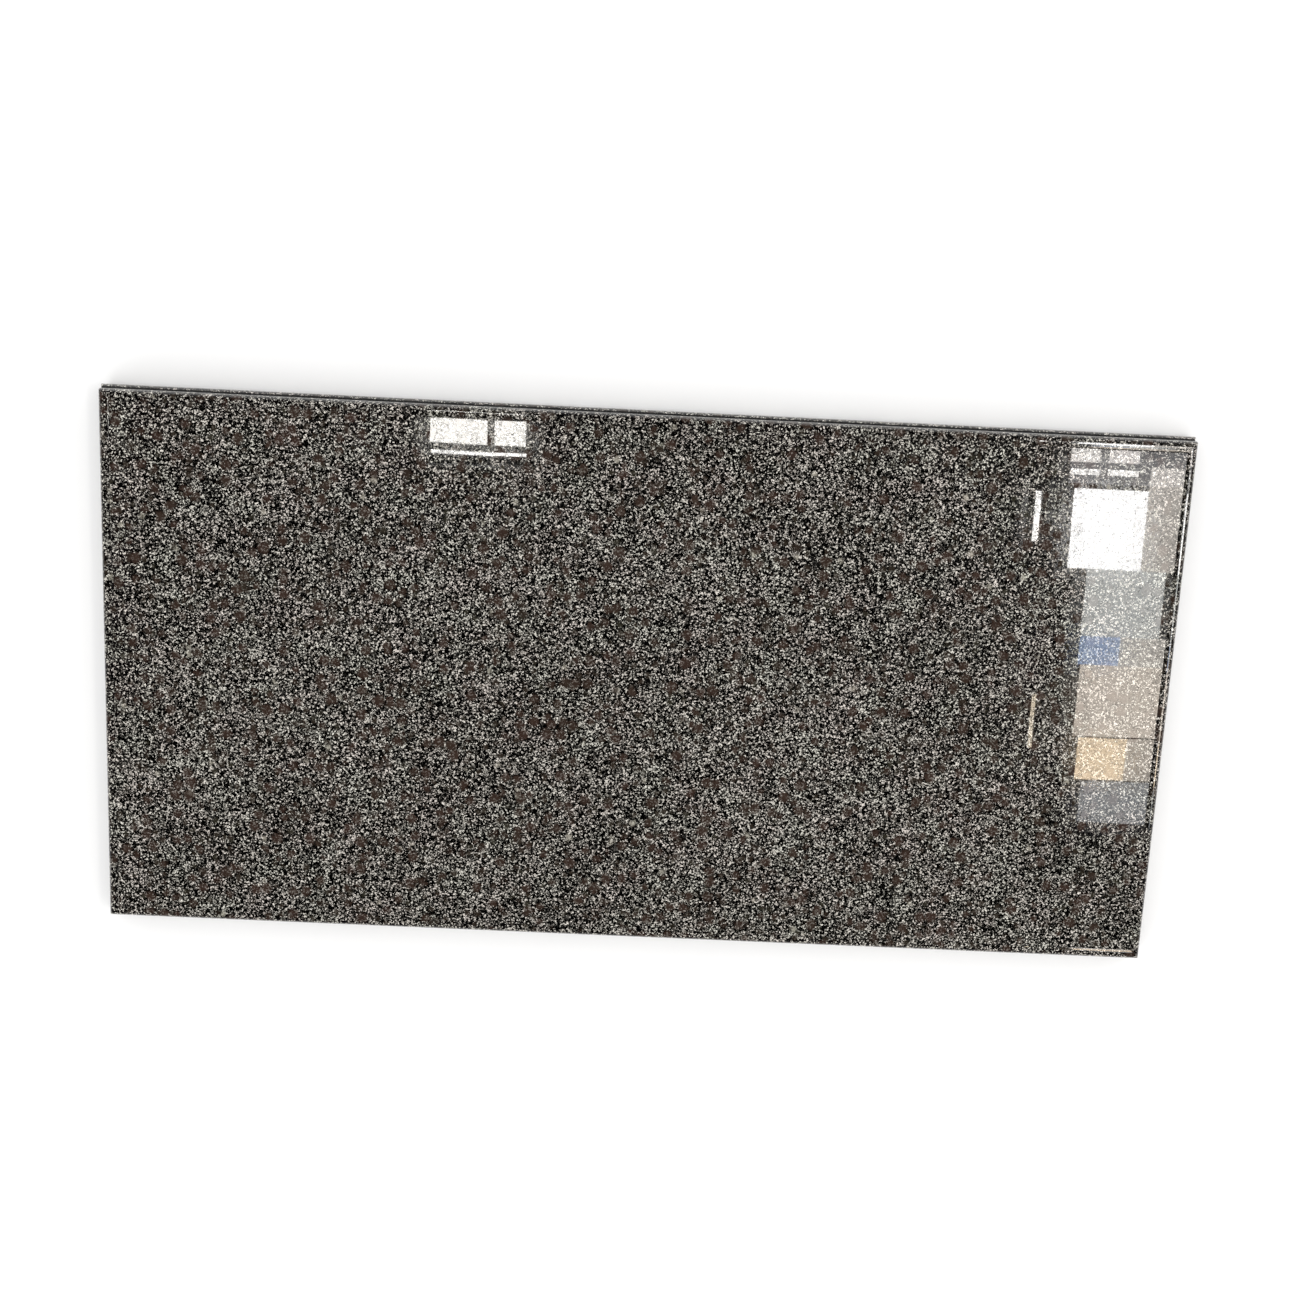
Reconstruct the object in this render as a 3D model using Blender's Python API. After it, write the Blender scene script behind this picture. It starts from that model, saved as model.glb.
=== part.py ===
# A polished granite slab with a moulded edge all round, doubled at its edge by
# four build-up strips that are glued on underneath.
#
# The slab lies flat with its polished face up. +X runs along the long side, +Y
# across it and +Z out of the polished face. The origin is under the middle of
# the slab, on the surface that the strips rest on. All values are in metres.

import math

import bmesh
import bpy
from mathutils import Matrix, Vector

# The slab, as it is cut from 20 mm stock.
SLAB_LENGTH = 1.200
SLAB_WIDTH = 0.600
SLAB_THICKNESS = 0.020

# The moulding on the slab's upper edge: a square step down from the polished
# face, a ledge that rises a little to its crest, then a quarter round out to
# the slab's side. The step's depth is that of the crest below the face.
STEP_DEPTH = 0.0012
LEDGE_REACH = 0.0066
LEDGE_RISE = 0.0006
ROUND_REACH = 0.0064
ROUND_DEPTH = 0.010
ARRIS = 0.0005

# The build-up strips under the slab's edge, with a half-round nose that stands
# out past the slab's side.
STRIP_THICKNESS = 0.020
STRIP_SEAT = 0.045
NOSE_REACH = 0.005

# The dark resin that holds the strips on, with a fillet in the corner between
# the slab's side and the nose.
RESIN_BED = 0.0009
FILLET_REACH = 0.0023
FILLET_HEIGHT = 0.0014
SEAT_MARGIN = 0.002

# The clearance between pieces that touch, and the number of facets on each
# rounded stretch.
GAP = 0.0003
ROUND_FACETS = 24
LEDGE_FACETS = 8
NOSE_FACETS = 24

# How far a blank runs past the piece that is cut from it.
BLANK_MARGIN = 0.020
SMOOTH_ANGLE = math.radians(30)
WELD_DISTANCE = 0.00001

# Heights that follow from the layers.
BED_BOTTOM = STRIP_THICKNESS + GAP
BED_TOP = BED_BOTTOM + RESIN_BED
SLAB_BOTTOM = BED_TOP + GAP
SLAB_TOP = SLAB_BOTTOM + SLAB_THICKNESS

# Each side's name, the direction that it faces, its distance from the middle
# and its length along the slab's own side.
SIDES = (
    ("front", Vector((0, -1, 0)), SLAB_WIDTH / 2, SLAB_LENGTH),
    ("back", Vector((0, 1, 0)), SLAB_WIDTH / 2, SLAB_LENGTH),
    ("left", Vector((-1, 0, 0)), SLAB_LENGTH / 2, SLAB_WIDTH),
    ("right", Vector((1, 0, 0)), SLAB_LENGTH / 2, SLAB_WIDTH),
)

GRANITE_COLOUR = (0.105, 0.095, 0.090)
RESIN_COLOUR = (0.012, 0.011, 0.011)


def clear_scene():
    for obj in list(bpy.data.objects):
        bpy.data.objects.remove(obj, do_unlink=True)


def new_collection(name):
    collection = bpy.data.collections.new(name)
    bpy.context.scene.collection.children.link(collection)
    return collection


def add_finish(obj, colour, roughness, metallic):
    """Gives the piece a material of its own."""
    finish = bpy.data.materials.new(obj.name + "_finish")
    finish.use_nodes = True
    shader = finish.node_tree.nodes["Principled BSDF"]
    shader.inputs["Base Color"].default_value = (*colour, 1.0)
    shader.inputs["Roughness"].default_value = roughness
    shader.inputs["Metallic"].default_value = metallic
    obj.data.materials.clear()
    obj.data.materials.append(finish)


def add_granite(obj, roughness):
    add_finish(obj, GRANITE_COLOUR, roughness, 0.0)


def add_resin(obj):
    add_finish(obj, RESIN_COLOUR, 0.35, 0.0)


def side_frame(outward, distance):
    """A frame at the slab's side: x points outwards, y up and z along it."""
    up = Vector((0, 0, 1))
    axes = Matrix((outward, up, outward.cross(up))).transposed()
    return Matrix.Translation(outward * distance) @ axes.to_4x4()


def evaluated_mesh(obj):
    depsgraph = bpy.context.evaluated_depsgraph_get()
    return bpy.data.meshes.new_from_object(obj.evaluated_get(depsgraph))


def extruded(name, outline, length, placement, collection):
    """A flat outline, carried half of the length to each side of its plane."""
    curve = bpy.data.curves.new(name + "_outline", "CURVE")
    curve.dimensions = "2D"
    curve.fill_mode = "BOTH"
    curve.extrude = length / 2
    spline = curve.splines.new("POLY")
    spline.points.add(len(outline) - 1)
    for point, (across, along) in zip(spline.points, outline):
        point.co = (across, along, 0.0, 1.0)
    spline.use_cyclic_u = True

    source = bpy.data.objects.new(name + "_outline", curve)
    source.matrix_world = placement
    collection.objects.link(source)
    bpy.context.view_layer.update()
    mesh = evaluated_mesh(source)
    mesh.name = name

    shell = bmesh.new()
    shell.from_mesh(mesh)
    bmesh.ops.remove_doubles(shell, verts=shell.verts, dist=WELD_DISTANCE)
    bmesh.ops.recalc_face_normals(shell, faces=shell.faces)
    shell.to_mesh(mesh)
    shell.free()

    obj = bpy.data.objects.new(name, mesh)
    obj.matrix_world = source.matrix_world
    collection.objects.link(obj)
    bpy.data.objects.remove(source, do_unlink=True)
    return obj


def keep_common(blank, cutter):
    """Cuts the blank down to what lies inside the cutter as well."""
    cutter.hide_render = True
    cutter.display_type = "WIRE"
    common = blank.modifiers.new("common", "BOOLEAN")
    common.operation = "INTERSECT"
    common.solver = "EXACT"
    common.object = cutter
    bpy.context.view_layer.update()
    mesh = evaluated_mesh(blank)
    mesh.name = blank.name
    blank.modifiers.remove(common)
    blank.data = mesh
    mesh.shade_smooth()
    mesh.set_sharp_from_angle(angle=SMOOTH_ANGLE)


def arc(centre, reach, height, start, end, facets):
    """Points on an elliptical arc, between two angles in degrees."""
    points = []
    for step in range(facets + 1):
        angle = math.radians(start + (end - start) * step / facets)
        across = centre[0] + reach * math.cos(angle)
        up = centre[1] + height * math.sin(angle)
        points.append((across, up))
    return points


def moulded_edge():
    """The slab's edge from its underside to its face, outwards from its side."""
    crest = SLAB_TOP - STEP_DEPTH
    points = [(-ARRIS, SLAB_BOTTOM), (0.0, SLAB_BOTTOM + ARRIS)]
    points += arc((-ROUND_REACH, crest - ROUND_DEPTH), ROUND_REACH, ROUND_DEPTH, 0, 90, ROUND_FACETS)
    for step in range(1, LEDGE_FACETS + 1):
        share = step / LEDGE_FACETS
        points.append((-ROUND_REACH - LEDGE_REACH * share, crest - LEDGE_RISE * share**2))
    step_foot = -ROUND_REACH - LEDGE_REACH
    points.append((step_foot, SLAB_TOP - ARRIS))
    points.append((step_foot - ARRIS, SLAB_TOP))
    return points


def slab_outline(half_size):
    """The slab cut across: the same moulded edge on both sides."""
    right = [(half_size + across, up) for across, up in moulded_edge()]
    left = [(-across, up) for across, up in reversed(right)]
    return right + left


def nose_at(across):
    """The height of the nose's upper surface, at a distance past the slab."""
    half = STRIP_THICKNESS / 2
    return half + half * math.sqrt(1 - (across / NOSE_REACH) ** 2)


def strip_outline():
    """A build-up strip cut across: square inside, with a half-round nose."""
    half = STRIP_THICKNESS / 2
    points = [(-STRIP_SEAT, STRIP_THICKNESS), (-STRIP_SEAT, 0.0)]
    points += arc((0.0, half), NOSE_REACH, half, -90, 90, NOSE_FACETS)
    return points


def resin_outline():
    """The resin cut across: a thin bed with a fillet at its outer edge."""
    inner = -STRIP_SEAT + SEAT_MARGIN
    outer = FILLET_REACH
    middle = FILLET_REACH / 2
    return [
        (inner, BED_TOP),
        (inner, BED_BOTTOM),
        (0.0, BED_BOTTOM),
        (middle, nose_at(middle) + GAP),
        (outer, nose_at(outer) + GAP),
        (middle, BED_TOP),
        (GAP, BED_TOP + FILLET_HEIGHT),
        (GAP, BED_TOP),
    ]


def mitre_outline(length):
    """The plan of one side's strip, cut back for half the gap at each mitre."""
    inner = -STRIP_SEAT - BLANK_MARGIN
    outer = NOSE_REACH + BLANK_MARGIN
    trim = GAP / 2 * math.sqrt(2)
    inner_half = length / 2 + inner - trim
    outer_half = length / 2 + outer - trim
    return [(inner, -inner_half), (outer, -outer_half), (outer, outer_half), (inner, inner_half)]


def build_slab(parts, cutters):
    """The slab, mitred at its corners because both moulded sections meet."""
    across_y = side_frame(Vector((0, 1, 0)), 0.0)
    across_x = side_frame(Vector((1, 0, 0)), 0.0)
    slab = extruded(
        "slab", slab_outline(SLAB_WIDTH / 2), SLAB_LENGTH + BLANK_MARGIN, across_y, parts
    )
    ends = extruded(
        "slab_ends", slab_outline(SLAB_LENGTH / 2), SLAB_WIDTH + BLANK_MARGIN, across_x, cutters
    )
    keep_common(slab, ends)
    add_granite(slab, 0.08)


def build_side_piece(name, outline, side, parts, cutters):
    """A strip or a resin bed along one side, mitred at both ends."""
    side_name, outward, distance, length = side
    placement = side_frame(outward, distance)
    blank_length = length + 2 * (NOSE_REACH + BLANK_MARGIN)
    piece = extruded(name + "_" + side_name, outline, blank_length, placement, parts)

    # The cutter's plan lies flat: its x points outwards and its y along the side.
    plan_frame = placement @ Matrix.Rotation(math.radians(90), 4, "X")
    cutter_height = 2 * (SLAB_TOP + BLANK_MARGIN)
    mitres = extruded(piece.name + "_mitres", mitre_outline(length), cutter_height, plan_frame, cutters)
    keep_common(piece, mitres)
    return piece


def build():
    clear_scene()
    parts = new_collection("granite_slab")
    cutters = new_collection("cutters")
    build_slab(parts, cutters)
    for side in SIDES:
        strip = build_side_piece("strip", strip_outline(), side, parts, cutters)
        add_granite(strip, 0.15)
        resin = build_side_piece("resin", resin_outline(), side, parts, cutters)
        add_resin(resin)


build()
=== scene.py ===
import math

import bmesh
import bpy
import numpy as np
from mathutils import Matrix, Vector


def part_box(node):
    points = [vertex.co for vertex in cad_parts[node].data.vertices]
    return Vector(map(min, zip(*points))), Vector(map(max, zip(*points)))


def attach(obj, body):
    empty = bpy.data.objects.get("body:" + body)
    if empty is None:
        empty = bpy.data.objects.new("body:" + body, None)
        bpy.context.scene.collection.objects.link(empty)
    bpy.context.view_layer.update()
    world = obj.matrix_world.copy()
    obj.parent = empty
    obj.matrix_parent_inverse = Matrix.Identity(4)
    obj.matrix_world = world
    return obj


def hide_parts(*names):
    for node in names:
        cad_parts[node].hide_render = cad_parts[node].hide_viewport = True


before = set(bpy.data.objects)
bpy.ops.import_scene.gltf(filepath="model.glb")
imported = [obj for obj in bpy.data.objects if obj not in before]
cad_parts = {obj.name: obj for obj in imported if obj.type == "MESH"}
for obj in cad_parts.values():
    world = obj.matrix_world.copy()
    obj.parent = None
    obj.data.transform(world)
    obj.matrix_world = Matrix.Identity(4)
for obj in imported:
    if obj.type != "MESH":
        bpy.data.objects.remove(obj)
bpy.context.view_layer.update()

# sizes that the pieces share, read from the frame
slabLow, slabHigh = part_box("slab")
frontLow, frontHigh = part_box("strip_front")
resinLow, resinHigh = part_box("resin_front")
slabTop = slabHigh.z
slabBottom = slabLow.z
halfLength = slabHigh.x
halfWidth = slabHigh.y
stripTop = frontHigh.z
noseReach = -halfWidth - frontLow.y
stripSeat = frontHigh.y + halfWidth
mitreTrim = halfLength + noseReach - frontHigh.x
filletReach = -halfWidth - resinLow.y
filletHeight = resinHigh.z - slabBottom
sawnSlot = 1  # on a stone piece, slot 0 is polished and slot 1 is as sawn

# where each side faces, its distance from the middle, and half its length
sideFrames = {
    "front": ((0.0, -1.0), halfWidth, halfLength),
    "back": ((0.0, 1.0), halfWidth, halfLength),
    "left": ((-1.0, 0.0), halfLength, halfWidth),
    "right": ((1.0, 0.0), halfLength, halfWidth),
}


class NodeDesk:
    # lays nodes out in one material and links them, so that a recipe reads from top to bottom
    perRow = 12
    spaceAcross = 200
    spaceDown = 320

    def __init__(self, tree):
        self.tree = tree
        self.count = 0

    def add(self, kind, settings=None, **inputs):
        node = self.tree.nodes.new(kind)
        row, column = divmod(self.count, self.perRow)
        node.location = ((column - self.perRow) * self.spaceAcross, -row * self.spaceDown)
        self.count += 1
        for key, value in (settings or {}).items():
            setattr(node, key, value)
        for key, value in inputs.items():
            self.feed(node.inputs[key.replace("_", " ")], value)
        return node

    def feed(self, socket, value):
        if isinstance(value, bpy.types.NodeSocket):
            self.tree.links.new(value, socket)
        else:
            socket.default_value = value

    def maths(self, operation, first, second=0.0, third=0.0, clamp=False):
        node = self.add("ShaderNodeMath", {"operation": operation, "use_clamp": clamp})
        for socket, value in zip(node.inputs, (first, second, third)):
            self.feed(socket, value)
        return node.outputs[0]

    def vectorMaths(self, operation, first, second=(0.0, 0.0, 0.0), scale=None):
        node = self.add("ShaderNodeVectorMath", {"operation": operation})
        self.feed(node.inputs[0], first)
        if scale is None:
            self.feed(node.inputs[1], second)
        else:
            self.feed(node.inputs["Scale"], scale)
        return node.outputs[0]

    def noise(self, where, scale, detail=2.0, roughness=0.5):
        return self.add("ShaderNodeTexNoise", Vector=where, Scale=scale, Detail=detail, Roughness=roughness)

    def cells(self, where, scale, feature="F1", randomness=1.0):
        node = self.add("ShaderNodeTexVoronoi", {"feature": feature}, Vector=where, Scale=scale)
        node.inputs["Randomness"].default_value = randomness
        return node

    def split(self, colour):
        return self.add("ShaderNodeSeparateColor", Color=colour).outputs

    def ramp(self, value, stops, interpolation="LINEAR"):
        node = self.add("ShaderNodeValToRGB", Fac=value)
        node.color_ramp.interpolation = interpolation
        elements = node.color_ramp.elements
        while len(elements) < len(stops):
            elements.new(1.0)
        for element, (place, colour) in zip(elements, stops):
            element.position = place
            element.color = (*colour, 1.0) if len(colour) == 3 else colour
        return node.outputs["Color"]

    def mapped(self, value, fromLow, fromHigh, toLow, toHigh, smooth=False):
        node = self.add("ShaderNodeMapRange", {"interpolation_type": "SMOOTHSTEP" if smooth else "LINEAR"})
        for socket, number in zip(node.inputs, (value, fromLow, fromHigh, toLow, toHigh)):
            self.feed(socket, number)
        return node.outputs[0]

    def mix(self, share, first, second, blend="MIX"):
        node = self.add("ShaderNodeMix", {"data_type": "RGBA", "blend_type": blend})
        self.feed(node.inputs[0], share)
        self.feed(node.inputs[6], first)
        self.feed(node.inputs[7], second)
        return node.outputs[2]

    def moved(self, where, scale, reach):
        # pushes a place about by a noise, so that crystal outlines aren't straight
        push = self.vectorMaths("SUBTRACT", self.noise(where, scale).outputs["Color"], (0.5, 0.5, 0.5))
        return self.vectorMaths("ADD", where, self.vectorMaths("SCALE", push, scale=reach))


def newMaterial(name):
    material = bpy.data.materials.new(name)
    material.use_nodes = True
    desk = NodeDesk(material.node_tree)
    shader = material.node_tree.nodes["Principled BSDF"]
    return material, desk, shader


graniteLooks = {
    "grainSize": 0.00155,  # the salt-and-pepper grains, in metres across
    "fleckSize": 0.0007,
    "fineRaggedness": (1500.0, 0.0006),  # waves in a metre, and how far they push each outline about
    "raggedness": (420.0, 0.0015),  # the same for the grains, and below for the crystals
    "crystalBend": (190.0, 0.0062),
    "crystalRaggedness": (620.0, 0.0022),
    "fleckShare": 0.38,  # how much of a grain's tone comes from the small flecks in it
    "clumping": (34.0, 0.13),  # waves in a metre, and how far dark and pale grains gather in them
    "drifting": (7.0, 0.08),
    "crystalSize": 0.0150,  # spacing of the brown feldspars
    "crystalShare": 0.62,
    "crystalRadius": (0.24, 0.47),  # smallest and largest, as shares of the spacing
    "smallCrystalSize": 0.0085,
    "smallCrystalShare": 0.30,
    "smallCrystalRadius": (0.26, 0.46),
    "clotSize": 0.0190,  # knots of black mica
    "clotShare": 0.02,
    "clotRadius": (0.16, 0.34),
    "paleSize": 0.0120,  # lone pale crystals
    "paleShare": 0.05,
    "paleRadius": (0.14, 0.32),
    "brown": (0.031, 0.0228, 0.0175),
    "redBrown": (0.043, 0.0262, 0.0205),
    "greenGrey": (0.030, 0.028, 0.020),
    "pale": (0.40, 0.38, 0.33),
    "black": (0.0040, 0.0038, 0.0034),
    "clotCover": 0.82,  # how fully each kind of crystal hides the grains under it
    "paleCover": 0.60,
    "smallCover": 0.78,
    "crystalCover": 0.80,
    "micaTones": (0.30, 0.38),  # below the first a grain is mica, above the second it isn't
    "mottling": (1300.0, 0.22),  # waves in a metre, and how much lighter or darker they make a grain
    "crystalRim": (-0.02, 0.06),  # where a crystal starts and where it is whole, inwards from its outline
    "bite": 0.25,  # how deep the grains bite into a crystal
    "hueWaves": 24.0,
    "rosy": (1.035, 0.98, 0.955),  # the two hues that the whole stone drifts between
    "olive": (0.985, 1.00, 0.945),
}

# the tone of a grain by its chance number, from black mica up to white feldspar
grainStops = (
    (0.00, (0.0002, 0.0002, 0.0002)),
    (0.52, (0.0003, 0.0003, 0.0003)),
    (0.57, (0.0035, 0.0033, 0.0030)),
    (0.62, (0.0240, 0.0227, 0.0207)),
    (0.66, (0.0800, 0.0758, 0.0692)),
    (0.71, (0.2200, 0.2094, 0.1926)),
    (0.76, (0.4800, 0.4605, 0.4289)),
    (0.82, (0.7400, 0.7157, 0.6747)),
    (1.00, (0.8600, 0.8349, 0.7914)),
)


def centred(desk, chance, reach):
    # chance numbers from 0 to 1, brought to lie evenly about 0
    return desk.maths("MULTIPLY_ADD", chance, reach, -reach / 2)


def crystalMask(desk, where, bite, size, share, radii):
    # one crystal in each chosen cell: 1 inside its radius, 0 outside. The grains around bite into its rim.
    cells = desk.cells(where, 1 / size)
    chance = desk.split(cells.outputs["Color"])
    radius = desk.mapped(chance[1], 0.0, 1.0, *radii)
    depth = desk.maths("SUBTRACT", radius, cells.outputs["Distance"])
    depth = desk.maths("ADD", depth, bite)
    inside = desk.mapped(depth, *graniteLooks["crystalRim"], 0.0, 1.0)
    chosen = desk.maths("LESS_THAN", chance[0], share)
    return desk.maths("MULTIPLY", inside, chosen), chance


def graniteColour(desk, shift):
    # returns the place, the stone's colour, how far it is black mica, and a chance number for each fleck
    looks = graniteLooks
    place = desk.add("ShaderNodeTexCoord").outputs["Object"]
    place = desk.add("ShaderNodeMapping", Vector=place, Location=shift).outputs["Vector"]
    fine = desk.moved(place, *looks["fineRaggedness"])
    ragged = desk.moved(fine, *looks["raggedness"])
    bent = desk.moved(desk.moved(fine, *looks["crystalBend"]), *looks["crystalRaggedness"])

    grain = desk.split(desk.cells(ragged, 1 / looks["grainSize"]).outputs["Color"])
    fleck = desk.split(desk.cells(ragged, 1 / looks["fleckSize"]).outputs["Color"])
    clumpWaves, clumping = looks["clumping"]
    clump = desk.noise(place, clumpWaves, 3.0, 0.6).outputs["Fac"]
    driftWaves, drifting = looks["drifting"]
    drift = desk.noise(place, driftWaves, 2.0, 0.5).outputs["Fac"]
    tone = desk.maths("MULTIPLY", grain[0], 1 - looks["fleckShare"])
    tone = desk.maths("MULTIPLY_ADD", fleck[0], looks["fleckShare"], tone)
    tone = desk.maths("ADD", tone, centred(desk, clump, clumping))
    tone = desk.maths("ADD", tone, centred(desk, drift, drifting), clamp=True)
    colour = desk.ramp(tone, grainStops)
    mica = desk.mapped(tone, *looks["micaTones"], 1.0, 0.0)

    bite = centred(desk, fleck[1], looks["bite"])
    clots, _ = crystalMask(desk, bent, bite, looks["clotSize"], looks["clotShare"], looks["clotRadius"])
    colour = desk.mix(desk.maths("MULTIPLY", clots, looks["clotCover"]), colour, (*looks["black"], 1.0))

    pales, _ = crystalMask(desk, bent, bite, looks["paleSize"], looks["paleShare"], looks["paleRadius"])
    colour = desk.mix(desk.maths("MULTIPLY", pales, looks["paleCover"]), colour, (*looks["pale"], 1.0))

    small, smallChance = crystalMask(
        desk, bent, bite, looks["smallCrystalSize"], looks["smallCrystalShare"], looks["smallCrystalRadius"])
    large, largeChance = crystalMask(
        desk, bent, bite, looks["crystalSize"], looks["crystalShare"], looks["crystalRadius"])
    tint = desk.mix(largeChance[2], (*looks["brown"], 1.0), (*looks["redBrown"], 1.0))
    smallTint = desk.mix(smallChance[2], (*looks["greenGrey"], 1.0), (*looks["brown"], 1.0))
    colour = desk.mix(desk.maths("MULTIPLY", small, looks["smallCover"]), colour, smallTint)
    colour = desk.mix(desk.maths("MULTIPLY", large, looks["crystalCover"]), colour, tint)

    feldspar = desk.maths("MAXIMUM", small, large)
    mottleWaves, mottling = looks["mottling"]
    mottle = desk.noise(place, mottleWaves, 2.0, 0.6).outputs["Fac"]
    shade = desk.mapped(mottle, 0.3, 0.7, 1 - mottling, 1 + mottling)
    colour = desk.vectorMaths("SCALE", colour, scale=shade)
    hue = desk.noise(place, looks["hueWaves"], 2.0, 0.5).outputs["Fac"]
    hue = desk.mapped(hue, 0.35, 0.65, 0.0, 1.0)
    hue = desk.mix(hue, (*looks["rosy"], 1.0), (*looks["olive"], 1.0))
    colour = desk.vectorMaths("MULTIPLY", colour, hue)
    mica = desk.maths("MULTIPLY", mica, desk.maths("SUBTRACT", 1.0, feldspar))
    mica = desk.maths("MAXIMUM", mica, clots)
    return place, colour, mica, fleck[2]


polishedLooks = {
    "roughness": 0.009,
    "micaRoughness": 0.022,
    "pitRoughness": 0.34,  # tiny pits in the mica, which the polish doesn't reach
    "pitShare": 0.16,
    "smearWaves": 9.0,
    "smear": (0.8, 1.25),  # the polish is a little better and worse from place to place, by these factors
    "ior": 1.54,
    "relief": 0.010,  # how far the soft mica lies below the hard grains
    "reliefDepth": 0.001,
    "waves": 14.0,  # the face isn't quite flat
    "wave": 0.06,
    "waveDepth": 0.0004,
}


def polishedGranite(name, shift=(0.0, 0.0, 0.0), looks=polishedLooks):
    material, desk, shader = newMaterial(name)
    place, colour, mica, chance = graniteColour(desk, shift)
    desk.feed(shader.inputs["Base Color"], colour)
    smear = desk.noise(place, looks["smearWaves"], 3.0, 0.6).outputs["Fac"]
    rough = desk.mapped(mica, 0.0, 1.0, looks["roughness"], looks["micaRoughness"])
    rough = desk.maths("MULTIPLY", rough, desk.mapped(smear, 0.3, 0.7, *looks["smear"]))
    pitted = desk.maths("MULTIPLY", mica, desk.maths("LESS_THAN", chance, looks["pitShare"]))
    rough = desk.maths("MULTIPLY_ADD", pitted, looks["pitRoughness"], rough)
    desk.feed(shader.inputs["Roughness"], rough)
    shader.inputs["IOR"].default_value = looks["ior"]
    lowered = desk.add("ShaderNodeBump", {"invert": True}, Height=mica)
    lowered.inputs["Strength"].default_value = looks["relief"]
    lowered.inputs["Distance"].default_value = looks["reliefDepth"]
    ripple = desk.noise(place, looks["waves"], 1.0, 0.4).outputs["Fac"]
    waved = desk.add("ShaderNodeBump", Height=ripple, Normal=lowered.outputs["Normal"])
    waved.inputs["Strength"].default_value = looks["wave"]
    waved.inputs["Distance"].default_value = looks["waveDepth"]
    desk.feed(shader.inputs["Normal"], waved.outputs["Normal"])
    return material


sawnLooks = {
    "roughness": 0.72,
    "dust": (0.36, 0.35, 0.33),
    "dustShare": 0.42,
    "dustSpread": 0.3,
    "dustWaves": 11.0,
    "lineSpacing": 0.0045,  # the saw's lines, which lean a little and wander
    "lineLean": 0.035,
    "lineWander": 0.012,
    "lineWanderWaves": 3.0,
    "fineLines": (2.7, 0.45),  # how many to one broad line, and how strong beside it
    "lineShades": (0.88, 1.10),  # darkest and lightest, at this much of the lines' swing
    "lineSwing": 1.4,
    "fadeWaves": 16.0,
    "lineFade": 0.15,  # what is left of the lines where they fade
    "lineRelief": 0.35,
    "lineDepth": 0.0003,
    "gritWaves": 900.0,
    "gritRelief": 0.6,
    "gritDepth": 0.0004,
}


def sawnGranite(name, shift=(0.0, 0.0, 0.0), looks=sawnLooks):
    # the same stone straight from the saw: paler, dull, with the blade's faint parallel lines
    material, desk, shader = newMaterial(name)
    place, colour, _, _ = graniteColour(desk, shift)
    patch = desk.noise(place, looks["dustWaves"], 4.0, 0.6).outputs["Fac"]
    least, most = (looks["dustShare"] * (1 + part * looks["dustSpread"]) for part in (-1, 1))
    dusty = desk.mapped(patch, 0.30, 0.70, least, most)
    colour = desk.mix(dusty, colour, (*looks["dust"], 1.0))
    bentPlace = desk.moved(place, looks["lineWanderWaves"], looks["lineWander"])
    axes = desk.add("ShaderNodeSeparateXYZ", Vector=bentPlace).outputs
    along = desk.maths("ADD", axes[1], desk.maths("MULTIPLY", axes[0], looks["lineLean"]))
    turns = desk.maths("MULTIPLY", along, 2 * math.pi / looks["lineSpacing"])
    broad = desk.maths("SINE", turns)
    often, strength = looks["fineLines"]
    narrow = desk.maths("SINE", desk.maths("MULTIPLY", turns, often))
    lines = desk.maths("MULTIPLY_ADD", narrow, strength, broad)
    fade = desk.noise(place, looks["fadeWaves"], 3.0, 0.6).outputs["Fac"]
    fade = desk.mapped(fade, 0.35, 0.65, looks["lineFade"], 1.0)
    lines = desk.maths("MULTIPLY", lines, fade)
    shade = desk.mapped(lines, -looks["lineSwing"], looks["lineSwing"], *looks["lineShades"])
    colour = desk.vectorMaths("SCALE", colour, scale=shade)
    desk.feed(shader.inputs["Base Color"], colour)
    shader.inputs["Roughness"].default_value = looks["roughness"]
    grit = desk.noise(place, looks["gritWaves"], 4.0, 0.7).outputs["Fac"]
    scored = desk.add("ShaderNodeBump", Height=lines)
    scored.inputs["Strength"].default_value = looks["lineRelief"]
    scored.inputs["Distance"].default_value = looks["lineDepth"]
    gritty = desk.add("ShaderNodeBump", Height=grit, Normal=scored.outputs["Normal"])
    gritty.inputs["Strength"].default_value = looks["gritRelief"]
    gritty.inputs["Distance"].default_value = looks["gritDepth"]
    desk.feed(shader.inputs["Normal"], gritty.outputs["Normal"])
    return material


# the resin's near-black colour and its low specular level are partly painted shade: they make the joint as
# black as the shadow gap along the slab's edge
resinLooks = {
    "colour": (0.0025, 0.0023, 0.0021),
    "dusty": (0.012, 0.011, 0.010),
    "dustWaves": 700.0,
    "dustCover": 0.6,
    "gloss": 0.2,
    "roughness": 0.46,
    "roughnessSpread": (0.8, 1.5),  # glossiest and dullest places, by these factors
    "lumpWaves": 90.0,
    "lumps": 0.5,
    "lumpDepth": 0.0006,
}


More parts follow.
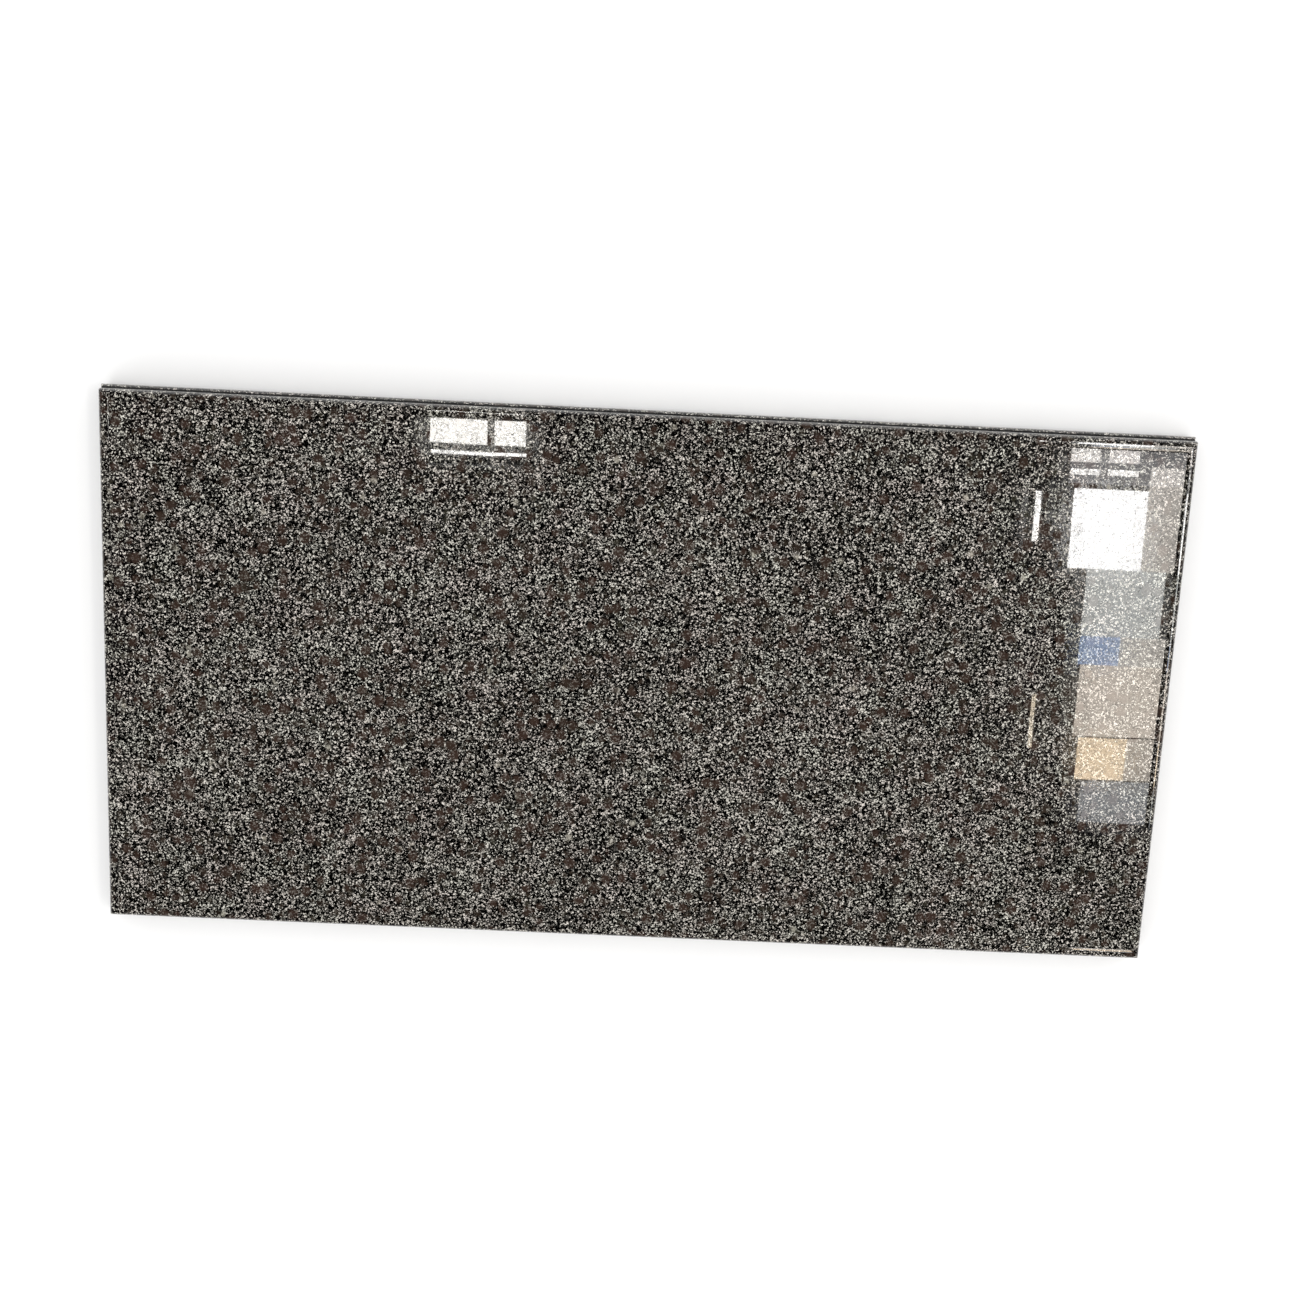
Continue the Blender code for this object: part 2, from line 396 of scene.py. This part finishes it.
def resinWithPaintedShadow(name, looks=resinLooks):
    # cured stone adhesive, glossy in places, with stone dust stuck on it; its near-black colour is partly the
    # real dark adhesive and partly painted shade for the deep shadow in the joint between slab and strips
    material, desk, shader = newMaterial(name)
    place = desk.add("ShaderNodeTexCoord").outputs["Object"]
    speck = desk.noise(place, looks["dustWaves"], 3.0, 0.7).outputs["Fac"]
    dust = desk.mapped(speck, 0.55, 0.75, 0.0, looks["dustCover"])
    desk.feed(shader.inputs["Base Color"], desk.mix(dust, (*looks["colour"], 1.0), (*looks["dusty"], 1.0)))
    flow = desk.noise(place, looks["lumpWaves"], 2.0, 0.5).outputs["Fac"]
    glossiest, dullest = (looks["roughness"] * factor for factor in looks["roughnessSpread"])
    desk.feed(shader.inputs["Roughness"], desk.mapped(flow, 0.3, 0.7, glossiest, dullest))
    # specular level kept low so the resin stays as dark as a shadow: painted shade
    shader.inputs["Specular IOR Level"].default_value = looks["gloss"]
    lumpy = desk.add("ShaderNodeBump", Height=flow)
    lumpy.inputs["Strength"].default_value = looks["lumps"]
    lumpy.inputs["Distance"].default_value = looks["lumpDepth"]
    desk.feed(shader.inputs["Normal"], lumpy.outputs["Normal"])
    return material


def wander(along, wavelengths, seed):
    # a smooth drift between about -1 and 1: the mean of sines of these wavelengths, each at a chance phase
    waves = np.asarray(wavelengths)
    phases = np.random.default_rng(seed).uniform(0.0, 2 * math.pi, len(waves))
    return np.sin(2 * math.pi * along[..., None] / waves + phases).mean(axis=-1) * math.sqrt(len(waves))


def arc(start, end, steps):
    # cosines and sines of even steps from one angle to another, in degrees, as two columns
    angles = np.radians(np.linspace(start, end, steps + 1))[:, None]
    return np.cos(angles), np.sin(angles)


def closedShell(name, places, sawnQuads, sawnCaps):
    # places is rows of rings: quads join each ring to the next, and one flat face closes each end
    rows, columns, _ = places.shape
    index = np.arange(rows * columns).reshape(rows, columns)
    ahead = np.roll(index, -1, axis=1)
    quads = np.stack([index[:-1], ahead[:-1], ahead[1:], index[1:]], axis=-1).reshape(-1, 4)
    mesh = bpy.data.meshes.new(name)
    faces = quads.tolist() + [index[0, ::-1].tolist(), index[-1].tolist()]
    mesh.from_pydata(places.reshape(-1, 3).tolist(), [], faces)

    sawnFaces = np.append(np.broadcast_to(sawnQuads, (rows - 1, columns)).ravel(), sawnCaps)
    slots = np.where(sawnFaces, sawnSlot, 0)
    mesh.polygons.foreach_set("material_index", slots.astype(np.int32))
    mesh.shade_smooth()

    ends = np.zeros(len(mesh.edges) * 2, np.int32)
    mesh.edges.foreach_get("vertices", ends)
    row = ends.reshape(-1, 2) // columns
    rim = (row[:, 0] == row[:, 1]) & ((row[:, 0] == 0) | (row[:, 0] == rows - 1))
    mesh.attributes.new("sharp_edge", "BOOLEAN", "EDGE").data.foreach_set("value", rim)

    shell = bmesh.new()
    shell.from_mesh(mesh)
    bmesh.ops.recalc_face_normals(shell, faces=shell.faces)
    shell.to_mesh(mesh)
    shell.free()
    piece = bpy.data.objects.new(name, mesh)
    bpy.context.scene.collection.objects.link(piece)
    return piece


def finishPiece(piece, node, materials):
    for material in materials:
        piece.data.materials.append(material)
    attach(piece, "root")
    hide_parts(node)


slabLooks = {
    "stepDepth": 0.0012,  # from the polished face down to the ledge's crest
    "ledgeReach": 0.0066,  # the ledge, which rises from the foot of the step to its crest
    "ledgeRise": 0.0006,
    "roundReach": 0.0064,  # the quarter round outside the crest
    "roundDepth": 0.0100,
    "rootFillet": 0.0003,  # the router bit's small radius at the foot of the step
    "arris": 0.0005,  # each sharp edge is eased by hand, so the easing drifts by this share
    "arrisDrift": 0.25,
    "arrisWaves": (7, 19, 41, 83, 127),  # how many times each wave of that drift goes into the slab's girth
    "seed": 5,
    "cornerRadius": 0.0022,
    "cornerSoftness": 0.0014,
    "cornerSteps": 8,
    "longSteps": 120,
    "shortSteps": 60,
    "roundSteps": 24,
    "ledgeSteps": 14,
    "arrisSteps": 5,
    "support": 0.0003,  # a row kept this close to each bend holds the flat beside it flat
}


def slabSection(looks, arris):
    # the edge cut across, from the underside out, up and in to the face: an arris of a quarter circle, the
    # side, a quarter of an ellipse up to the crest, a ledge that falls by ledgeRise times the square of its
    # share, a fillet, the step and another arris. Columns follow the arris given.
    crest = slabTop - looks["stepDepth"]
    roundFoot = crest - looks["roundDepth"]
    reach, fillet, support = looks["roundReach"], looks["rootFillet"], looks["support"]
    foot = reach + looks["ledgeReach"]
    flat = np.ones_like(arris)[None, :]
    rows = [(-(arris + support) * flat, slabBottom * flat)]

    cosine, sine = arc(-90, 0, looks["arrisSteps"])
    rows.append((-arris + arris * cosine, slabBottom + arris + arris * sine))
    for height in (slabBottom + 2 * looks["arris"], roundFoot - support):
        rows.append((0.0 * flat, height * flat))

    cosine, sine = arc(0, 90, looks["roundSteps"])
    rows.append(((-reach + reach * cosine) * flat, (roundFoot + looks["roundDepth"] * sine) * flat))
    share = np.linspace(0, 1 - fillet / looks["ledgeReach"], looks["ledgeSteps"] + 1)[1:, None]
    ledge = crest - looks["ledgeRise"] * share ** 2
    rows.append(((-reach - looks["ledgeReach"] * share) * flat, ledge * flat))
    cosine, sine = arc(-90, -180, looks["arrisSteps"])
    footHeight = crest - looks["ledgeRise"] + fillet
    rows.append(((-foot + fillet + fillet * cosine[1:]) * flat, (footHeight + fillet * sine[1:]) * flat))
    cosine, sine = arc(0, 90, looks["arrisSteps"])
    rows.append((-foot - arris + arris * cosine, slabTop - arris + arris * sine))
    rows.append((-(foot + arris + support) * flat, slabTop * flat))
    return np.concatenate([out for out, up in rows]), np.concatenate([up for out, up in rows])


def rectanglePath(looks):
    # once round a rectangle: each point's share of the half length and half width, and the way it faces
    corners = ((1, 1), (-1, 1), (-1, -1), (1, -1))
    shareX, shareY, facing = [], [], []
    for number, (x, y) in enumerate(corners):
        nextX, nextY = corners[(number + 1) % 4]
        turn = np.radians(90 * number + np.linspace(0, 90, looks["cornerSteps"] + 1))
        steps = looks["longSteps"] if y == nextY else looks["shortSteps"]
        share = np.linspace(0, 1, steps + 1)[1:-1]
        shareX += [np.full(len(turn), float(x)), x + (nextX - x) * share]
        shareY += [np.full(len(turn), float(y)), y + (nextY - y) * share]
        facing += [turn, np.full(len(share), turn[-1])]
    return np.concatenate(shareX), np.concatenate(shareY), np.concatenate(facing)


def cutSlab(looks=slabLooks):
    # a row at distance d from the side has corners of radius r, the soft maximum of 0 and cornerRadius + d:
    # x = (halfLength + d - r) shareX + r cos facing, and y likewise
    shareX, shareY, facing = rectanglePath(looks)
    stepX = np.diff(shareX, append=shareX[0]) * halfLength
    stepY = np.diff(shareY, append=shareY[0]) * halfWidth
    along = np.cumsum(np.hypot(stepX, stepY))
    girth = along[-1]
    drift = wander(along, girth / np.array(looks["arrisWaves"]), looks["seed"])
    out, up = slabSection(looks, looks["arris"] * (1 + looks["arrisDrift"] * drift))
    radius = looks["cornerRadius"] + out
    radius = 0.5 * (radius + np.hypot(radius, looks["cornerSoftness"]))
    x = (halfLength + out - radius) * shareX + radius * np.cos(facing)
    y = (halfWidth + out - radius) * shareY + radius * np.sin(facing)
    return closedShell("polished_slab", np.stack([x, y, up], axis=-1), False, (True, False))


def alongSide(side, out, up, share):
    # places on one side of the slab: out from its side, up from the floor, and the share of the way from its
    # middle to its end. The end is a mitre, so the way there is half the side's length + out - the mitre's
    # trim.
    (towardsX, towardsY), distance, halfSide = sideFrames[side]
    way = share * (halfSide + out - mitreTrim)
    x = towardsX * (distance + out) - towardsY * way
    y = towardsY * (distance + out) + towardsX * way
    return np.stack([x, y, np.broadcast_to(up, x.shape)], axis=-1)


stripLooks = {"arris": 0.0006, "arrisSteps": 3, "noseSteps": 32, "support": 0.0004, "spacing": 0.02}


def stripSection(looks):
    # a strip cut across, as a ring: half an ellipse for the nose, and a square back with eased arrises
    arris, support = looks["arris"], looks["support"]
    half = stripTop / 2
    noseCos, noseSin = arc(-90, 90, looks["noseSteps"])
    topCos, topSin = arc(90, 180, looks["arrisSteps"])
    lowCos, lowSin = arc(180, 270, looks["arrisSteps"])
    out = [noseReach * noseCos, [[-support]], [[-stripSeat + arris + support]]]
    up = [half + half * noseSin, [[stripTop]], [[stripTop]]]
    out += [-stripSeat + arris + arris * topCos, [[-stripSeat]] * 2, -stripSeat + arris + arris * lowCos]
    up += [stripTop - arris + arris * topSin, [[stripTop - arris - support], [arris + support]]]
    up += [arris + arris * lowSin]
    out += [[[-stripSeat + arris + support]], [[-support]]]
    up += [[[0.0]], [[0.0]]]
    return np.concatenate(out)[:, 0], np.concatenate(up)[:, 0]


def cutStrip(side, looks=stripLooks):
    # the section carried along its side; everything but the nose stays as the saw left it
    out, up = stripSection(looks)
    halfSide = sideFrames[side][2]
    share = np.linspace(-1, 1, int(2 * halfSide / looks["spacing"]) + 1)[:, None]
    places = alongSide(side, out[None, :], up[None, :], share)
    sawn = np.minimum(out, np.roll(out, -1)) < -looks["support"] / 2
    return closedShell("edge_strip_" + side, places, sawn[None, :], (True, True))


resinBedLooks = {
    "skin": 0.00004,  # how near the resin comes to the stone
    "filletDrift": 0.16,
    "filletWaves": (0.31, 0.113, 0.047, 0.019),  # lengths of the waves that the fillet drifts by
    "beadReach": 0.0024,  # the squeezed-out bead along the inside, on an average stretch
    "beadDrop": 0.0030,
    "beadDrift": 0.75,
    "beadWaves": (0.23, 0.09, 0.041, 0.017),
    "beadReachMost": 0.0075,
    "beadDropMost": 0.0080,
    "hollowPull": (0.20, 0.35),  # how far the fillet's curve is drawn into its corner, as shares of its size
    "beadPull": (0.95, 0.55),  # and how far the bead's curve bulges
    "firstSeed": 20,  # each side draws its drift from its own seeds
    "seedStep": 3,
    "curveSteps": 8,
    "spacing": 0.004,
}


def bezier(first, pull, last, steps):
    # a smooth bend from first to last, drawn towards pull: (1-t)(1-t) first + 2t(1-t) pull + t t last
    t = np.linspace(0, 1, steps + 1)
    return [(1 - t) ** 2 * a + 2 * t * (1 - t) * b + t ** 2 * c for a, b, c in zip(first, pull, last)]


def noseHeight(out):
    # the top of the nose at a distance past the slab's side
    return stripTop / 2 * (1 + np.sqrt(1 - (np.clip(out, 0.0, noseReach) / noseReach) ** 2))


def layResin(side, number, looks=resinBedLooks):
    # one ring at each place along the side: the bed, a hollow fillet above the nose, and a bead inside that
    # swells and thins as the resin was pressed out
    halfSide = sideFrames[side][2]
    share = np.linspace(-1, 1, int(2 * halfSide / looks["spacing"]) + 1)[:, None]
    way = share[:, 0] * halfSide
    skin = looks["skin"]
    seed = looks["firstSeed"] + looks["seedStep"] * number
    outerDrift = 1 - looks["filletDrift"] * (0.5 + 0.5 * wander(way, looks["filletWaves"], seed))
    reach = (filletReach * outerDrift)[:, None]
    height = (filletHeight * outerDrift)[:, None]
    swell = np.exp(looks["beadDrift"] * wander(way, looks["beadWaves"], seed + 1))[:, None]
    bead = np.minimum(looks["beadReach"] * swell, looks["beadReachMost"])
    drop = np.minimum(looks["beadDrop"] * swell, looks["beadDropMost"])

    inner = -stripSeat - skin
    low, high = stripTop + skin, slabBottom - skin
    level = np.zeros_like(reach)
    pullOut, pullUp = looks["hollowPull"]
    hollow = bezier((skin, slabBottom + height), (reach * pullOut, low + height * pullUp),
                    (reach, noseHeight(reach) + skin), looks["curveSteps"])
    bulgeOut, bulgeUp = looks["beadPull"]
    swelling = bezier((inner, stripTop - drop), (inner - bead * bulgeOut, stripTop - drop * bulgeUp),
                      (inner - bead, high), looks["curveSteps"])
    half = reach / 2
    out = [hollow[0], half, level, level + inner, swelling[0], level - slabLooks["arris"], level + skin]
    up = [hollow[1], noseHeight(half) + skin, level + low, level + low, swelling[1], level + high,
          slabBottom + slabLooks["arris"] + level]
    out = np.concatenate([np.broadcast_to(part, (len(share), np.shape(part)[-1])) for part in out], axis=1)
    up = np.concatenate([np.broadcast_to(part, (len(share), np.shape(part)[-1])) for part in up], axis=1)
    return closedShell("resin_bed_" + side, alongSide(side, out, up, share), False, (False, False))


slabPolished = polishedGranite("polished_granite")
slabSawn = sawnGranite("sawn_granite")
stripShift = (0.37, -0.21, 0.13)  # the strips come from another place in the block
stripPolished = polishedGranite("strip_polished_granite", stripShift)
stripSawn = sawnGranite("strip_sawn_granite", stripShift)
# dark resin whose near-black is partly painted shade for the shadow gap under the slab's edge
resinPaintedShadow = resinWithPaintedShadow("cured_resin_painted_shadow")
print("stone and resin mixed")

finishPiece(cutSlab(), "slab", (slabPolished, slabSawn))
for number, side in enumerate(sideFrames):
    finishPiece(cutStrip(side), "strip_" + side, (stripPolished, stripSawn))
    finishPiece(layResin(side, number), "resin_" + side, (resinPaintedShadow,))
for nodeName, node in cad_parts.items():
    node.data.materials.clear()
    node.data.materials.append(resinPaintedShadow if nodeName.startswith("resin") else slabPolished)
print("slab cut and moulded, strips glued on")


studioLooks = {
    "floorSize": 60.0,
    "floorColour": (0.95, 0.95, 0.95),
    "floorRoughness": 0.9,
    "backdrop": 1.0,
    "tent": 1.03,  # the even light that falls from all round
    "mirroredHorizon": 0.95,  # what polished stone mirrors low down, and overhead
    "mirroredOverhead": 0.012,
    "mirroredHalfway": 0.55,  # the share of the horizon's brightness left on the way up
    "mirroredHeights": (0.25, 0.45, 0.72),  # where it starts to fade, is halfway, and is as dark as overhead
    "mirroredWall": 0.38,  # what is left of that between the soft panels in the four corners of the room
    "panelReach": (0.58, 0.64, 0.82, 0.90),  # where a panel begins, is full, starts to fade and ends, along X
}


def layFloor(looks=studioLooks):
    half = looks["floorSize"] / 2
    corners = np.array([(-half, -half, 0.0), (half, -half, 0.0), (half, half, 0.0), (-half, half, 0.0)])
    mesh = bpy.data.meshes.new("floor")
    mesh.from_pydata(corners.tolist(), [], [(0, 1, 2, 3)])
    floor = bpy.data.objects.new("floor", mesh)
    bpy.context.scene.collection.objects.link(floor)
    material, _, shader = newMaterial("pale_floor")
    shader.inputs["Base Color"].default_value = (*looks["floorColour"], 1.0)
    shader.inputs["Roughness"].default_value = looks["floorRoughness"]
    shader.inputs["Specular IOR Level"].default_value = 0.0
    mesh.materials.append(material)


def lightRoom(looks=studioLooks):
    # an even white tent for soft light, which polished stone mirrors as a pale horizon under a dark ceiling,
    # brightest in the room's corners
    world = bpy.data.worlds.new("room")
    world.use_nodes = True
    bpy.context.scene.world = world
    desk = NodeDesk(world.node_tree)
    background = world.node_tree.nodes["Background"]
    aim = desk.add("ShaderNodeTexCoord").outputs["Generated"]
    across, _, height = desk.add("ShaderNodeSeparateXYZ", Vector=aim).outputs
    rays = desk.add("ShaderNodeLightPath").outputs
    pale = (looks["mirroredHorizon"],) * 3
    half = (looks["mirroredHorizon"] * looks["mirroredHalfway"],) * 3
    dark = (looks["mirroredOverhead"],) * 3
    low, middle, high = looks["mirroredHeights"]
    mirrored = desk.ramp(height, ((0.0, pale), (low, pale), (middle, half), (high, dark), (1.0, dark)))
    light = desk.mix(rays["Is Camera Ray"], (*(looks["tent"],) * 3, 1.0), (*(looks["backdrop"],) * 3, 1.0))
    desk.feed(background.inputs["Color"], desk.mix(rays["Is Glossy Ray"], light, mirrored))
    wall = (looks["mirroredWall"],) * 3
    full = (1.0,) * 3
    begins, whole, fades, ends = looks["panelReach"]
    panels = ((0.0, wall), (begins, wall), (whole, full), (fades, full), (ends, wall), (1.0, wall))
    shade = desk.ramp(desk.maths("ABSOLUTE", across), panels)
    desk.feed(background.inputs["Strength"], desk.mix(rays["Is Glossy Ray"], (1.0, 1.0, 1.0, 1.0), shade))


# soft lights that the stone doesn't mirror: place, size and radiance
softLights = {
    "front_left": ((-2.7, -2.6, 2.3), (2.2, 1.6), 1.6),
    "back_right": ((2.6, 2.7, 2.3), (2.2, 1.6), 0.9),
}

# what the polished face mirrors from above: place, size, radiance and colour of each bright opening
roomLights = {
    "window_pane_left": ((-0.617, 0.244, 3.0), (0.190, 0.082), 22.0, (1.0, 0.97, 0.92)),
    "window_pane_right": ((-0.446, 0.244, 3.0), (0.105, 0.082), 22.0, (1.0, 0.97, 0.92)),
    "window_sill": ((-0.548, 0.174, 3.0), (0.315, 0.011), 24.0, (1.0, 0.98, 0.95)),
    "door_pane_left": ((1.480, 0.266, 3.0), (0.098, 0.046), 13.0, (1.0, 0.95, 0.89)),
    "door_pane_right": ((1.611, 0.268, 3.0), (0.102, 0.046), 12.0, (1.0, 0.93, 0.88)),
    "door_slit_left": ((1.485, 0.210, 3.0), (0.098, 0.020), 18.0, (1.0, 0.97, 0.93)),
    "door_slit_right": ((1.612, 0.211, 3.0), (0.104, 0.020), 18.0, (1.0, 0.97, 0.93)),
    "doorway_haze": ((1.675, 0.236, 3.05), (0.450, 0.130), 3.0, (0.98, 0.97, 1.0)),
    "doorway": ((1.580, 0.020, 3.0), (0.250, 0.270), 24.0, (1.0, 0.99, 0.98)),
    "doorway_side": ((1.775, 0.060, 3.0), (0.140, 0.350), 8.0, (1.0, 0.93, 0.85)),
    "doorway_far_side": ((1.875, 0.060, 3.0), (0.060, 0.350), 4.0, (1.0, 0.94, 0.88)),
    "doorstep": ((1.660, -0.230, 3.0), (0.270, 0.230), 8.5, (0.98, 1.0, 0.97)),
    "path_blue": ((1.595, -0.395, 3.0), (0.140, 0.100), 8.5, (0.55, 0.70, 1.0)),
    "path_far": ((1.745, -0.395, 3.0), (0.160, 0.100), 8.5, (1.0, 0.94, 0.86)),
    "path": ((1.690, -0.570, 3.0), (0.310, 0.250), 10.0, (1.0, 0.89, 0.77)),
    "crate": ((1.640, -0.775, 3.0), (0.170, 0.150), 15.0, (1.0, 0.79, 0.55)),
    "path_side": ((1.790, -0.775, 3.0), (0.130, 0.150), 7.5, (1.0, 0.89, 0.77)),
    "path_end": ((1.700, -0.930, 3.0), (0.240, 0.150), 4.6, (0.95, 0.97, 1.0)),
    "post_slit": ((1.334, 0.055, 3.0), (0.020, 0.170), 24.0, (1.0, 0.98, 0.95)),
    "post_gleam": ((1.387, -0.650, 3.0), (0.014, 0.190), 12.0, (1.0, 0.86, 0.66)),
}


def hangLamp(name, place, size, radiance, aim, mirrored):
    # an even rectangle of light: its power is radiance times pi times its area
    lamp = bpy.data.lights.new(name, "AREA")
    lamp.shape = "RECTANGLE"
    lamp.size, lamp.size_y = size
    lamp.energy = radiance * math.pi * size[0] * size[1]
    light = bpy.data.objects.new(name, lamp)
    light.location = place
    light.rotation_euler = aim
    light.visible_camera = False
    light.visible_glossy = mirrored
    bpy.context.scene.collection.objects.link(light)
    return lamp


def hangLights():
    for name, (place, size, radiance) in softLights.items():
        aim = (-Vector(place)).to_track_quat("-Z", "Y").to_euler()
        hangLamp(name, place, size, radiance, aim, False)
    for name, (place, size, radiance, colour) in roomLights.items():
        hangLamp(name, place, size, radiance, (0.0, 0.0, 0.0), True).color = colour


cameraLooks = {
    "place": (-0.0105, 0.2858, 1.4728),
    "turn": (-9.72, -0.371, 2.746),
    "lens": 36.0,
    "sensor": 36.0,
    "clip": (0.01, 100.0),
}


def placeCamera(looks=cameraLooks):
    lens = bpy.data.cameras.new("camera")
    lens.lens = looks["lens"]
    lens.sensor_width = looks["sensor"]
    lens.clip_start, lens.clip_end = looks["clip"]
    camera = bpy.data.objects.new("camera", lens)
    camera.location = looks["place"]
    camera.rotation_euler = [math.radians(angle) for angle in looks["turn"]]
    bpy.context.scene.collection.objects.link(camera)
    bpy.context.scene.camera = camera


layFloor()
lightRoom()
hangLights()
placeCamera()
bpy.context.scene.view_settings.view_transform = "Standard"
print("studio ready")
